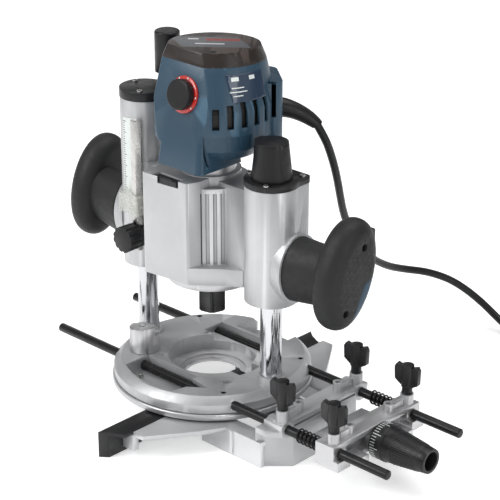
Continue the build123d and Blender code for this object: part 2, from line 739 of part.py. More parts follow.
def fine_depth_knob():
    z_cap = LEFT_TOWER_Z[1] + LEFT_CAP_T
    knob = cyl(FINE_KNOB_X, FINE_KNOB_Y, 262.5, 298.0, 10.8)
    knob = fillet(knob.edges().group_by(Axis.Z)[-1], 2)
    knob += cyl(FINE_KNOB_X, FINE_KNOB_Y, z_cap + CLEAR, 263, 6.5)
    knob += cyl(FINE_KNOB_X, FINE_KNOB_Y, LEFT_TOWER_Z[1] - 50, 263, 4.0)
    return knob


def height_knob():
    z0 = RIGHT_TOWER_Z[1] + CAP_T + CLEAR
    body = Pos(COLUMN_X, COLUMN_Y, z0 + 15.5) * Cone(17.0, 13.5, 31.0)
    wing = block(COLUMN_X - 16, COLUMN_X + 16, COLUMN_Y - 5, COLUMN_Y + 5, z0, z0 + 31)
    body += wing & (Pos(COLUMN_X, COLUMN_Y, z0 + 15.5) * Cone(18.5, 15.0, 31.0))
    return body


def plunge_lock_lever():
    """Lever on the rear of the right tower that clamps the carriage to its column."""
    pivot = cyl_y(LOCK_X, 14, 24.0, LOCK_Z, 4.0)
    hub = cyl_y(LOCK_X, 24.3, 33, LOCK_Z, 9.0)
    arm = block(LOCK_X - 5, LOCK_X + 5, 27, 33, LOCK_Z - 42, LOCK_Z)
    lever = fillet((hub + arm).edges().filter_by(Axis.Y), 1.0)
    return lever + pivot + cyl_y(LOCK_X, 23.9, 24.5, LOCK_Z, 4.0)


# ---- parallel guide ---------------------------------------------------------
def guide_rods():
    rods = []
    for side in (-1, 1):
        rod = cyl_x(*GUIDE_X, side * GUIDE_Y, GUIDE_Z, GUIDE_R)
        rods.append(chamfer(rod.edges(), 0.6))
    return Compound(children=rods)


def mirrored_outline(points):
    """Close an outline with its own mirror image across the X axis."""
    return points + [(x, -y) for x, y in reversed(points)]


def carrier_bosses(wing_x, top, x0, x1):
    """Rod bosses, wing-bolt and screw bosses and the ribs that join them."""
    body = None
    for side in (-1, 1):
        y, inner_y = side * GUIDE_Y, side * SCREW_BOSS_Y
        piece = cyl_x(x0, x1, y, GUIDE_Z, 7.8)
        piece += cyl(wing_x, y, GUIDE_Z, WING_BOSS_TOP, 5.6)
        piece += cyl(wing_x - 2, inner_y, top - 2, SCREW_BOSS_TOP, 4.2)
        piece += block(wing_x - 2.5, wing_x + 0.5, *sorted((y, inner_y)), top - 2, SCREW_BOSS_TOP - 2)
        body = piece if body is None else body + piece
    return body


def carrier_holes(wing_x, x0, x1):
    holes = None
    for side in (-1, 1):
        piece = cyl_x(x0 - 5, x1 + 8, side * GUIDE_Y, GUIDE_Z, GUIDE_R + RUNNING_FIT)
        piece += cyl(wing_x, side * GUIDE_Y, GUIDE_Z, WING_BOSS_TOP + 1, 3.0 + RUNNING_FIT)
        piece += hexagon(wing_x - 2, side * SCREW_BOSS_Y, SCREW_BOSS_TOP - 4, SCREW_BOSS_TOP + 1, 4.4)
        holes = piece if holes is None else holes + piece
    return holes


def fence_body():
    """Inner carrier, and the arms that carry the fence faces under the sole."""
    arm = JAW_X[1] + CLEAR
    wing = [(arm, -118), (36, -118), (62, -81), (74, -60), (114, -60)]
    plate = prism(mirrored_outline(wing), PLATE_Z - 4.0, PLATE_Z)
    plate -= cyl(0, 0, -30, 0, 42)
    plate -= block(0, JAW_X[2] + CLEAR, -130, 130, PLATE_Z - 2.8, 0)
    for side in (-1, 1):
        plate -= prism([(62, side * 22), (62, side * 44), (94, side * 44), (94, side * 22)], -30, 0)
    body = plate
    for side in (-1, 1):
        wall = block(46, 114, *sorted((side * 56, side * 60)), FLOOR_Z, PLATE_Z)
        lug = block(arm, 24, *sorted((side * 112, side * 118)), -20, PLATE_Z - 2.8)
        rib = block(79, 83, *sorted((side * 60, side * 61.5)), FLOOR_Z + 2, PLATE_Z)
        front = block(arm, arm + 4, *sorted((side * 44, side * 118)), -18, PLATE_Z - 2.8)
        body += wall + lug + rib + front
    x0, x1 = INNER_X
    corner = [(x0 - 4, -60), (x1, -39)]
    walls = prism(mirrored_outline(corner), FLOOR_Z, 8)
    walls -= prism(mirrored_outline([(x0 - 1, -54), (x1 - 4, -36)]), FLOOR_Z - 1, 4)
    body += walls
    body += prism(mirrored_outline([(x0 - 4, -60), (x0 + 8, -60), (x1, -52)]), 7, 12)
    body += block(x0, x1, -54, 54, 14, INNER_TOP)
    body += block(x0 + 3, x0 + 7, -52, 52, 7, 15)
    body += carrier_bosses(INNER_WING_X, INNER_TOP, x0, x1)
    body += cyl_x(x0, x1, ADJUST_Y, ADJUST_Z, 7.0)
    body -= carrier_holes(INNER_WING_X, x0, x1)
    body -= block(x1, x1 + 20, -70, 70, -30, 40)
    return body - cyl_x(x0 - 8, x1 + 8, ADJUST_Y, ADJUST_Z, 3.0 + CLEAR)


def fence_jaw(side, end_y):
    """Fence face: an upright strip with a flange over the arm."""
    x0, x1, x2 = JAW_X
    inner_y = side * 24
    section = [(x0, end_y), (x1, end_y - side * 5.5), (x1, inner_y + side * 4), (x0, inner_y)]
    wall = prism(section, FLOOR_Z, PLATE_Z + 0.5)
    flange = prism(
        [(x1 - 1, end_y - side * 5), (x2, end_y - side * 12), (x2, side * 46), (x1 - 1, side * 46)],
        PLATE_Z - 2.5,
        PLATE_Z + 0.5,
    )
    return wall + flange


def outer_carrier():
    x0, x1 = OUTER_X
    body = block(x0, x1, -54, 54, OUTER_TOP - 4, OUTER_TOP)
    body += block(x0 + 7, x0 + 11, -50, 50, 2, OUTER_TOP - 3)
    for side in (-1, 1):
        body += block(x0, x1 + 5, *sorted((side * 39, side * 54)), 0, 8)
        body += block(x0, x1, *sorted((side * 39, side * 54)), 7, OUTER_TOP - 2)
        body += block(x1 - 6, x1 + 10, *sorted((side * 22, side * 34)), 0, 6)
    body += block(140, x1, -26, 36, 0, 4)
    body += carrier_bosses(OUTER_WING_X, OUTER_TOP, x0, x1)
    body += cyl_x(x0, x1, ADJUST_Y, ADJUST_Z, 8.0)
    body -= carrier_holes(OUTER_WING_X, x0, x1)
    return body - cyl_x(x0 - 40, x1 + 8, ADJUST_Y, ADJUST_Z, 3.0 + CLEAR)


def fine_adjust_knob():
    x0 = OUTER_X[1] + CLEAR + 1.5
    ring_part = cyl_x(x0, x0 + 12, ADJUST_Y, ADJUST_Z, 15.5)
    cone = Pos(x0 + 12 + 20, ADJUST_Y, ADJUST_Z) * Rot(0, 90, 0) * Cone(15.0, 10.5, 40)
    knob = ring_part + cone
    knob -= cyl_x(x0 + 40, x0 + 60, ADJUST_Y, ADJUST_Z, 8.0)
    return knob + cyl_x(INNER_X[0] - 4, x0 + 1, ADJUST_Y, ADJUST_Z, 3.0)


def rod_springs():
    springs = []
    for side in (-1, 1):
        spring = coil_spring(0, 0, 0, 26.4, 5.4, 0.75, 6)
        springs.append(Pos(OUTER_X[0] - 26.4, side * GUIDE_Y, GUIDE_Z) * Rot(0, 90, 0) * spring)
    return Compound(children=springs)


def wing_bolt(x, side):
    y = side * GUIDE_Y
    shank = cyl(x, y, GUIDE_Z + GUIDE_R + CLEAR, WING_BOSS_TOP + 2, 3.0)
    collar = cyl(x, y, WING_BOSS_TOP + CLEAR, 36, 4.4)
    left = [(-3, 35), (-10.8, 41), (-11.3, 52), (-9.5, 55), (-4, 53)]
    right = [(4, 53), (9.5, 55), (11.3, 52), (10.8, 39), (7.5, 37), (3, 35)]
    face = make_face(Polyline([(u, 0, v) for u, v in left + right], close=True))
    blades = Pos(0, 2.4, 0) * extrude(face, 4.8, dir=(0, -1, 0))
    core = cyl(0, 0, 36, 55, 5.2)
    return shank + collar + Pos(x, y, 0) * Rot(0, 0, 8) * (blades + core)


# ---- cord -------------------------------------------------------------------
def corner_radii(points):
    """Largest arcs the runs allow: 0.45 of the shorter run over tan(turn / 2)."""
    radii = []
    for before, here, after in zip(points, points[1:], points[2:]):
        into = Vector(*here) - Vector(*before)
        out = Vector(*after) - Vector(*here)
        turn = math.radians(into.get_angle(out))
        radii.append(0.45 * min(into.length, out.length) / math.tan(turn / 2))
    return radii


def cord_tube():
    radii = corner_radii(CORD_ROUTE)
    path = FilletPolyline(*CORD_ROUTE, radius=radii)
    profile = Plane(origin=path @ 0, z_dir=path % 0) * Circle(CORD_D / 2)
    tube = sweep(profile, path)
    print("cord radii", [round(r, 1) for r in radii], "tube length", round(path.length, 1))
    section = math.pi * (CORD_D / 2) ** 2
    print("volume over section x length", round(tube.volume / (section * path.length), 4))
    return tube, path.length


def coil_place():
    """Centre and outside radius of the coil, which the cord's last run enters along a tangent."""
    last, before = Vector(*CORD_ROUTE[-1]), Vector(*CORD_ROUTE[-2])
    along = (last - before).normalized()
    outer = COIL_TURN_R + COIL_COLUMNS * CORD_D / 2
    side = Vector(-along.Y, along.X, 0) * (outer - CORD_D / 2)
    return last, along, last + side, outer


def cord_coil(tube_length):
    """Outer shape of the stored length, wound in columns and layers, with a slot for the entering cord."""
    last, along, centre, outer = coil_place()
    wound = COIL_TURNS * 2 * math.pi * COIL_TURN_R + COIL_END_R * math.radians(COIL_END_DEG)
    print("cord length", round(tube_length + wound), "wanted", CORD_LENGTH, "coil width", 2 * outer)
    height = COIL_LAYERS * CORD_D
    inner = outer - COIL_COLUMNS * CORD_D
    body = ring(centre.X, centre.Y, FLOOR_Z, FLOOR_Z + height, outer, inner)
    slot = Plane(origin=last, z_dir=along) * extrude(Rectangle(10, 10), -60)
    return body - slot


def cord_plug():
    """Two-pin plug lying on the coil, where the last turn curls in and rises to meet it."""
    last, along, centre, outer = coil_place()
    z = FLOOR_Z + COIL_LAYERS * CORD_D
    entry = math.degrees(math.atan2(last.Y - centre.Y, last.X - centre.X))
    leaving = entry + 360 * COIL_TURNS
    turned = math.radians(leaving + COIL_END_DEG)
    off_centre = outer - CORD_D / 2 - COIL_END_R
    x = centre.X + off_centre * math.cos(math.radians(leaving)) + COIL_END_R * math.cos(turned)
    y = centre.Y + off_centre * math.sin(math.radians(leaving)) + COIL_END_R * math.sin(turned)
    plug = Pos(11, 0, 6.5) * Rot(0, 90, 0) * Cone(4.6, 6.4, 22)
    body = block(21, 51, -17.5, 17.5, 0, 15)
    plug += fillet(body.edges().filter_by(Axis.X), 6)
    for side in (-1, 1):
        plug += cyl_x(50, 70, side * 9.5, 7.5, 2.4)
    return Pos(x, y, z) * Rot(0, 0, leaving + COIL_END_DEG + 90) * plug


# ---- build ------------------------------------------------------------------
def main():
    os.makedirs("parts", exist_ok=True)
    save("sub_base", sub_base())
    save("sub_base_screws", sub_base_screws())
    save("base_casting", base_casting())
    save("base_set_screws", base_set_screws())
    save("template_lever", template_lever())
    save("left_column", column(-1, LEFT_COLUMN_TOP))
    save("right_column", column(1, RIGHT_COLUMN_TOP))
    save("left_plunge_spring", plunge_spring(-1, 150.0))
    save("right_plunge_spring", plunge_spring(1, 112.0))
    save("stop_turret", stop_turret())
    save("turret_bolt", turret_bolt())
    save("carriage_casting", carriage_casting())
    save("column_bushes", column_bushes())
    save("left_cap", left_cap())
    save("right_cap", right_cap())
    save("cap_screws", cap_screws())
    save("spring_pins", spring_pins())
    save("lower_cover", lower_cover())
    save("right_grip", right_grip())
    save("left_grip", left_grip())
    save("grip_inlays", grip_inlays())
    save("power_switch", power_switch())
    save("depth_bracket", depth_bracket())
    save("depth_scale", depth_scale())
    save("motor_housing", motor_housing())
    save("motor_cap", motor_cap())
    save("rating_plate", rating_plate())
    save("motor_neck", motor_neck())
    save("stator", stator())
    save("spindle_bearings", spindle_bearings())
    save("bearing_bridge", bearing_bridge())
    save("carbon_brushes", carbon_brushes())
    save("dial_ring", dial_ring())
    save("speed_dial", speed_dial())
    save("strain_relief", strain_relief())
    save("spindle_shaft", spindle_shaft())
    save("rotor", rotor())
    save("fan", fan())
    save("collet", collet())
    save("collet_nut", collet_nut())
    save("depth_rod", depth_rod())
    save("depth_pointer", depth_pointer())
    save("depth_clamp_knob", depth_clamp_knob())
    save("fine_depth_knob", fine_depth_knob())
    save("height_knob", height_knob())
    save("plunge_lock_lever", plunge_lock_lever())
    save("guide_rods", guide_rods())
    save("fence_body", fence_body())
    save("front_jaw", fence_jaw(-1, FRONT_JAW_END))
    save("back_jaw", fence_jaw(1, BACK_JAW_END))
    save("outer_carrier", outer_carrier())
    save("fine_adjust_knob", fine_adjust_knob())
    save("rod_springs", rod_springs())
    save("inner_front_wing_bolt", wing_bolt(INNER_WING_X, -1))
    save("inner_back_wing_bolt", wing_bolt(INNER_WING_X, 1))
    save("outer_front_wing_bolt", wing_bolt(OUTER_WING_X, -1))
    save("outer_back_wing_bolt", wing_bolt(OUTER_WING_X, 1))
    tube, tube_length = cord_tube()
    save("cord_tube", tube)
    save("cord_coil", cord_coil(tube_length))
    save("cord_plug", cord_plug())


main()
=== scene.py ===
"""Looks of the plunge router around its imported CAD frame: camera, cord, materials and fine detail."""

import json
import math

import bmesh
import bpy
from mathutils import Matrix, Vector
from mathutils.bvhtree import BVHTree


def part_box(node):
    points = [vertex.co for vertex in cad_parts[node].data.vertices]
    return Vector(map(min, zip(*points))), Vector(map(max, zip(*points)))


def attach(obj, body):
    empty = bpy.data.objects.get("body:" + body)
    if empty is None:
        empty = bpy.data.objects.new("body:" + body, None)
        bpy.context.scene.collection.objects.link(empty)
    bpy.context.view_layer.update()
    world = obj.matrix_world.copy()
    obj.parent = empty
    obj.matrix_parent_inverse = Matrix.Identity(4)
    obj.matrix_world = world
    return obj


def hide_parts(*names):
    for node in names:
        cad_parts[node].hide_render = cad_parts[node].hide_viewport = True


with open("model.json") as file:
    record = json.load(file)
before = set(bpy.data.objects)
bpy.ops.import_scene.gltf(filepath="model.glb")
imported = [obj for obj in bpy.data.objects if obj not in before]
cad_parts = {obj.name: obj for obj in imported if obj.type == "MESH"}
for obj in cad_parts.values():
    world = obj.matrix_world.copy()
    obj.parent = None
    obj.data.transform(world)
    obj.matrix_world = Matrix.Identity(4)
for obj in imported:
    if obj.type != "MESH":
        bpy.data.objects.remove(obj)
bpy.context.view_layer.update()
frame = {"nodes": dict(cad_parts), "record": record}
NODES = frame["nodes"]
MM = 0.001
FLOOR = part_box("fence_body")[0].z

# ---- camera -----------------------------------------------------------------
AZIMUTH = math.radians(43.6)
ELEVATION = math.radians(23.3)
LENS_MM = 129.6
DISTANCE = 1.5319
AIM_RIGHT = 0.03249
AIM_HEIGHT = 0.11799


def add_camera():
    back = Vector((
        math.sin(AZIMUTH) * math.cos(ELEVATION),
        -math.cos(AZIMUTH) * math.cos(ELEVATION),
        math.sin(ELEVATION),
    ))
    right = Vector((math.cos(AZIMUTH), math.sin(AZIMUTH), 0))
    up = back.cross(right)
    data = bpy.data.cameras.new("camera")
    data.lens = LENS_MM
    data.sensor_width = 36
    camera = bpy.data.objects.new("camera", data)
    place = right * AIM_RIGHT + Vector((0, 0, AIM_HEIGHT)) + back * DISTANCE
    turn = Matrix((right, up, back)).transposed().to_4x4()
    camera.matrix_world = Matrix.Translation(place) @ turn
    bpy.context.scene.collection.objects.link(camera)
    bpy.context.scene.camera = camera


# ---- cord -------------------------------------------------------------------
CORD_D = 0.007
CORD_ROUTE = [
    (0.0583, 0.0666, 0.2281),
    (0.0627, 0.0721, 0.2157),
    (0.0634, 0.0784, 0.2015),
    (0.0621, 0.0861, 0.1851),
    (0.0587, 0.0945, 0.1683),
    (0.0536, 0.1042, 0.1503),
    (0.0475, 0.1157, 0.1312),
    (0.0419, 0.1310, 0.1098),
    (0.0364, 0.1506, 0.0872),
    (0.0314, 0.1749, 0.0648),
    (0.0290, 0.2016, 0.0475),
    (0.0308, 0.2264, 0.0369),
    (0.0406, 0.2493, 0.0300),
    (0.0573, 0.2677, 0.0200),
    (0.0791, 0.2798, 0.0035),
    (0.1036, 0.2841, -0.0140),
    (0.1320, 0.2775, -0.0210),
    (0.1575, 0.2620, -0.0210),
    (0.1750, 0.2420, -0.0210),
]
COIL_OUTER_TURN = 0.0435
COIL_TURNS = 7.97
COIL_LAYERS = 4
COIL_END_R = 0.029
COIL_END_DEG = 75.0
POINTS_PER_TURN = 16
PLUG_TAIL_UP = 0.0065


def smooth(t):
    t = min(max(t, 0.0), 1.0)
    return t * t * (3 - 2 * t)


def coil_centre():
    last, before = Vector(CORD_ROUTE[-1]), Vector(CORD_ROUTE[-2])
    along = (last - before).normalized()
    return last + Vector((-along.y, along.x, 0)) * COIL_OUTER_TURN


def turn_place(k):
    """Radius and height of turn k: two columns wide, each layer on top of the last."""
    layer = k // 2
    inner = (k % 2) != (layer % 2)
    radius = COIL_OUTER_TURN - (CORD_D if inner else 0)
    return radius, CORD_ROUTE[-1][2] + layer * CORD_D


def coil_points():
    """The stored length: neat turns, then a small curl up to the plug's tail."""
    centre = coil_centre()
    last = Vector(CORD_ROUTE[-1])
    start = math.atan2(last.y - centre.y, last.x - centre.x)
    points = []
    # control points stand a little outside the turn that they give
    swell = 1 / math.cos(math.pi / POINTS_PER_TURN) ** 0.5
    count = round(COIL_TURNS * POINTS_PER_TURN)
    for i in range(1, count + 1):
        t = i * COIL_TURNS / count
        k = min(int(t), 7)
        r0, z0 = turn_place(k)
        r1, z1 = turn_place(min(k + 1, 7))
        step = smooth((t - k - 0.72) / 0.28)
        radius = (r0 + (r1 - r0) * step) * swell
        angle = start + 2 * math.pi * t
        height = z0 + (z1 - z0) * step + PLUG_TAIL_UP * 0.35 * smooth((t - COIL_TURNS + 0.2) / 0.2)
        points.append((centre.x + radius * math.cos(angle), centre.y + radius * math.sin(angle), height))
    leaving = start + 2 * math.pi * COIL_TURNS
    top = CORD_ROUTE[-1][2] + COIL_LAYERS * CORD_D - CORD_D / 2 + PLUG_TAIL_UP
    low = points[-1][2]
    curl_x = centre.x + (COIL_OUTER_TURN - COIL_END_R) * math.cos(leaving)
    curl_y = centre.y + (COIL_OUTER_TURN - COIL_END_R) * math.sin(leaving)
    curl_points = 5
    for i in range(1, curl_points + 1):
        t = i / curl_points
        angle = leaving + math.radians(COIL_END_DEG) * t
        height = low + (top - low) * smooth(t * 1.1)
        points.append((curl_x + COIL_END_R * math.cos(angle), curl_y + COIL_END_R * math.sin(angle), height))
    return points


def add_cord():
    data = bpy.data.curves.new("mains_cord", "CURVE")
    data.dimensions = "3D"
    data.bevel_depth = 1.0
    data.bevel_resolution = 6
    data.resolution_u = 8
    data.use_fill_caps = True
    spline = data.splines.new("NURBS")
    route = list(CORD_ROUTE) + coil_points()
    spline.points.add(len(route) - 1)
    for point, place in zip(spline.points, route):
        point.co = (*place, 1)
        point.radius = CORD_D / 2
    spline.order_u = 3
    spline.use_endpoint_u = True
    cord = bpy.data.objects.new("mains_cord", data)
    bpy.context.scene.collection.objects.link(cord)
    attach(cord, "carriage")
    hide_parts("cord_tube", "cord_coil")
    return cord


# ---- materials --------------------------------------------------------------
DULL = {"Specular_IOR_Level": 0.28}
LABEL_TURN = math.radians(40)
CAP_TOP = 0.301
# low and high across the label, start and end along it, colour
LABEL_LINES = [
    (0.006, 0.012, -0.004, 0.024, (0.20, 0.030, 0.025)),
    (0.009, 0.012, -0.019, -0.010, (0.42, 0.43, 0.44)),
    (-0.004, -0.001, -0.012, 0.012, (0.36, 0.37, 0.38)),
]
# near-black discs painted on the cap top as the shade inside two screw wells
CAP_WELL_SHADE_SPOTS = [(-0.0120, 0.0230), (0.0200, -0.0165)]


class Shader:
    """A node material on object coordinates, built up one effect at a time."""

    def __init__(self, name, colour, roughness, metallic=0.0):
        self.material = bpy.data.materials.new(name)
        self.material.use_nodes = True
        self.tree = self.material.node_tree
        self.bsdf = self.tree.nodes["Principled BSDF"]
        self.colour = (*colour, 1)
        self.roughness = roughness
        self.bsdf.inputs["Base Color"].default_value = self.colour
        self.bsdf.inputs["Roughness"].default_value = roughness
        self.bsdf.inputs["Metallic"].default_value = metallic
        self.coords = self.node("ShaderNodeTexCoord").outputs["Object"]
        self.normal = None

    def node(self, kind, **settings):
        made = self.tree.nodes.new(kind)
        for key, value in settings.items():
            setattr(made, key, value)
        return made

    def link(self, source, target):
        self.tree.links.new(source, target)

    def noise(self, scale, detail=3.0, stretch=None):
        texture = self.node("ShaderNodeTexNoise")
        texture.inputs["Scale"].default_value = scale
        texture.inputs["Detail"].default_value = detail
        source = self.coords
        if stretch:
            mapping = self.node("ShaderNodeMapping")
            mapping.inputs["Scale"].default_value = stretch
            self.link(self.coords, mapping.inputs["Vector"])
            source = mapping.outputs["Vector"]
        self.link(source, texture.inputs["Vector"])
        return texture.outputs["Fac"]

    def ramp(self, source, low, high, to_low=0.0, to_high=1.0):
        scale = self.node("ShaderNodeMapRange")
        self.link(source, scale.inputs["Value"])
        for key, value in zip(("From Min", "From Max", "To Min", "To Max"), (low, high, to_low, to_high)):
            scale.inputs[key].default_value = value
        return scale.outputs["Result"]

    def base_input(self):
        socket = self.bsdf.inputs["Base Color"]
        return socket.links[0].from_socket if socket.links else None

    def tint(self, factor, colour):
        """Mixes a colour over the base colour by factor."""
        mix = self.node("ShaderNodeMix", data_type="RGBA")
        under = self.base_input()
        if under:
            self.link(under, mix.inputs["A"])
        else:
            mix.inputs["A"].default_value = self.colour
        mix.inputs["B"].default_value = (*colour, 1)
        self.link(factor, mix.inputs["Factor"])
        self.link(mix.outputs["Result"], self.bsdf.inputs["Base Color"])
        return self

    def mottle(self, scale, amount, stretch=None):
        """Slow change of tone."""
        tone = self.ramp(self.noise(scale, 4.0, stretch), 0.3, 0.7)
        darker = [c * (1 - amount) for c in self.colour[:3]]
        return self.tint(tone, darker)

    def worn(self, colour, amount=0.5, start=0.53):
        """Lighter rubbed edges."""
        shape = self.node("ShaderNodeNewGeometry").outputs["Pointiness"]
        edge = self.ramp(shape, start, start + 0.06, 0, amount)
        return self.tint(edge, colour)

    def paint_crease_shade(self, colour, amount=0.4):
        """Painted shade: darker inside corners, where shade falls."""
        shape = self.node("ShaderNodeNewGeometry").outputs["Pointiness"]
        dip = self.ramp(shape, 0.40, 0.49, amount, 0)
        return self.tint(dip, colour)

    def rough_noise(self, scale, spread, stretch=None):
        low, high = self.roughness - spread, self.roughness + spread
        made = self.ramp(self.noise(scale, 5.0, stretch), 0.3, 0.7, low, high)
        self.link(made, self.bsdf.inputs["Roughness"])
        return self

    def bump(self, height, strength, distance):
        made = self.node("ShaderNodeBump")
        made.inputs["Strength"].default_value = strength
        made.inputs["Distance"].default_value = distance
        self.link(height, made.inputs["Height"])
        if self.normal:
            self.link(self.normal, made.inputs["Normal"])
        self.normal = made.outputs["Normal"]
        self.link(self.normal, self.bsdf.inputs["Normal"])
        return self

    def grain(self, scale, strength, distance=0.0002, stretch=None):
        return self.bump(self.noise(scale, 4.0, stretch), strength, distance)

    def spread(self, axis):
        """One object coordinate, in metres."""
        split = self.node("ShaderNodeSeparateXYZ")
        self.link(self.coords, split.inputs["Vector"])
        return split.outputs[axis]

    def combine(self, operation, first, second):
        """Joins two values, either of which may be a plain number."""
        maths = self.node("ShaderNodeMath", operation=operation)
        for socket, value in zip(maths.inputs, (first, second)):
            if isinstance(value, (int, float)):
                socket.default_value = value
            else:
                self.link(value, socket)
        return maths.outputs["Value"]

    def disc(self, x, y, radius):
        """1 inside an upright cylinder about (x, y)."""
        across = self.combine("POWER", self.combine("SUBTRACT", self.spread("X"), x), 2.0)
        along = self.combine("POWER", self.combine("SUBTRACT", self.spread("Y"), y), 2.0)
        return self.combine("LESS_THAN", self.combine("ADD", across, along), radius ** 2)

    def turned(self, angle):
        """Two object coordinates, in a frame turned about Z."""
        x, y = self.spread("X"), self.spread("Y")
        cos, sin = math.cos(angle), math.sin(angle)
        u = self.combine("ADD", self.combine("MULTIPLY", x, cos), self.combine("MULTIPLY", y, sin))
        v = self.combine("SUBTRACT", self.combine("MULTIPLY", y, cos), self.combine("MULTIPLY", x, sin))
        return u, v

    def between(self, value, low, high):
        above = self.combine("GREATER_THAN", value, low)
        return self.combine("MULTIPLY", above, self.combine("LESS_THAN", value, high))

    def set(self, **values):
        """Constant values, set on the shader's own sockets."""
        for key, value in values.items():
            self.bsdf.inputs[key.replace("_", " ")].default_value = value
        return self


def make_cap_shader():
    """Brown cap with a slanting grey label on top, two pale lines on it and two screw wells painted as
    near-black discs of shade.
    """
    cap = Shader("brown_cap", (0.022, 0.017, 0.015), 0.36)
    cap.mottle(25, 0.25).rough_noise(220, 0.06).worn((0.09, 0.07, 0.062), 0.5).grain(2400, 0.2, 0.0001)
    u, v = cap.turned(LABEL_TURN)
    above = cap.combine("GREATER_THAN", cap.spread("Z"), CAP_TOP - 0.0004)
    slant = cap.combine("MULTIPLY", v, 0.45)
    along = cap.between(cap.combine("ADD", u, slant), -0.027, 0.029)
    label = cap.combine("MULTIPLY", above, cap.combine("MULTIPLY", along, cap.between(v, -0.012, 0.017)))
    cap.tint(label, (0.075, 0.078, 0.085))
    for low, high, start, end, colour in LABEL_LINES:
        line = cap.combine("MULTIPLY", cap.between(v, low, high), cap.between(u, start, end))
        cap.tint(cap.combine("MULTIPLY", line, above), colour)
    # painted shade: a near-black disc over each screw well
    for x, y in CAP_WELL_SHADE_SPOTS:
        cap.tint(cap.combine("MULTIPLY", cap.disc(x, y, 0.0028), above), (0.004, 0.004, 0.005))
    return cap.set(**DULL)


def make_materials():
    """One finish for each kind of surface."""
    made = {}
    cast = Shader("cast_alloy", (0.47, 0.475, 0.485), 0.42, 0.6)
    cast.mottle(22, 0.10).rough_noise(160, 0.07)
    # painted shade darkens the casting's inside corners
    cast.worn((0.85, 0.86, 0.87), 0.5).paint_crease_shade((0.22, 0.22, 0.23), 0.45)
    made["cast_alloy"] = cast.grain(1400, 0.22, 0.00016)
    turned = Shader("machined_alloy", (0.52, 0.52, 0.53), 0.36, 0.8)
    turned.mottle(30, 0.08).rough_noise(260, 0.03).worn((0.85, 0.85, 0.85), 0.3)
    made["machined_alloy"] = turned.grain(2600, 0.02, 0.00002)
    chrome = Shader("bright_steel", (0.62, 0.63, 0.65), 0.12, 1.0)
    made["bright_steel"] = chrome.mottle(30, 0.06).rough_noise(300, 0.03).grain(1500, 0.01, 0.00002)
    steel = Shader("steel", (0.50, 0.49, 0.47), 0.3, 1.0)
    steel.mottle(120, 0.2).rough_noise(400, 0.1).worn((0.75, 0.75, 0.74))
    made["steel"] = steel.grain(2500, 0.1, 0.00008)
    oxide = Shader("black_steel", (0.012, 0.012, 0.013), 0.34, 0.2)
    oxide.mottle(60, 0.4).rough_noise(300, 0.1).worn((0.10, 0.10, 0.10), 0.5).grain(1800, 0.12, 0.0001)
    made["black_steel"] = oxide.set(**DULL)
    blue = Shader("blue_plastic", (0.019, 0.052, 0.086), 0.40)
    blue.mottle(14, 0.16).rough_noise(240, 0.06)
    # painted shade darkens the blue housing's inside corners
    blue.worn((0.07, 0.15, 0.22), 0.5).paint_crease_shade((0.006, 0.02, 0.035), 0.5)
    made["blue_plastic"] = blue.grain(2600, 0.22, 0.00012).set(Specular_IOR_Level=0.4)
    black = Shader("black_plastic", (0.010, 0.010, 0.011), 0.38)
    black.mottle(40, 0.3).rough_noise(260, 0.08).worn((0.05, 0.05, 0.053), 0.5)
    made["black_plastic"] = black.grain(2400, 0.25, 0.00012).set(**DULL)
    rubber = Shader("grip_rubber", (0.017, 0.017, 0.018), 0.52)
    rubber.mottle(30, 0.3).rough_noise(200, 0.08).worn((0.05, 0.05, 0.053), 0.4)
    made["grip_rubber"] = rubber.grain(2200, 0.3, 0.00012).set(**DULL)
    made["brown_cap"] = make_cap_shader()
    red = Shader("red_plastic", (0.55, 0.020, 0.012), 0.25)
    red.mottle(200, 0.3).rough_noise(400, 0.06)
    made["red_plastic"] = red.grain(3000, 0.05, 0.00005).set(Coat_Weight=0.4)
    clear = Shader("clear_plastic", (0.72, 0.73, 0.68), 0.10)
    clear.set(Transmission_Weight=0.3, IOR=1.45, Alpha=0.42)
    made["clear_plastic"] = clear.mottle(60, 0.04).grain(900, 0.01, 0.00002)
    white = Shader("white_label", (0.66, 0.70, 0.68), 0.35)
    made["white_label"] = white.mottle(60, 0.06).rough_noise(300, 0.05).grain(1500, 0.04, 0.00004)
    navy = Shader("navy_label", (0.020, 0.038, 0.070), 0.12)
    made["navy_label"] = navy.mottle(60, 0.1).rough_noise(300, 0.04).grain(1500, 0.03, 0.00004)
    copper = Shader("copper", (0.55, 0.22, 0.09), 0.35, 0.9)
    made["copper"] = copper.mottle(200, 0.3).rough_noise(500, 0.1).grain(2600, 0.3, 0.0001, (1, 1, 10))
    sheath = Shader("cord_rubber", (0.010, 0.010, 0.011), 0.36)
    sheath.mottle(60, 0.3).rough_noise(200, 0.08)
    made["cord_rubber"] = sheath.grain(1800, 0.2, 0.00012).set(**DULL)
    return {key: shader.material for key, shader in made.items()}


def dress_nodes(materials):
    """Each CAD node gets its slot's finish, rounded edges and smooth shading."""
    slots = {row["node"]: row["material_slot"] for row in frame["record"]["subparts"]}
    for name, node in NODES.items():
        node.data.materials.clear()
        node.data.materials.append(materials["navy_label" if name == "rating_plate" else slots[name]])
        soften(node, 0.35 * MM)


def soften(obj, width, segments=2):
    """Joins the shell, rounds its sharp edges and shades the rest smooth."""
    for polygon in obj.data.polygons:
        polygon.use_smooth = True
    weld = obj.modifiers.new("weld", "WELD")
    weld.merge_threshold = 0.002 * MM
    bevel = obj.modifiers.new("round", "BEVEL")
    bevel.width = width
    bevel.segments = segments
    bevel.limit_method = "ANGLE"
    bevel.angle_limit = math.radians(38)
    bevel.harden_normals = True
    bevel.use_clamp_overlap = True


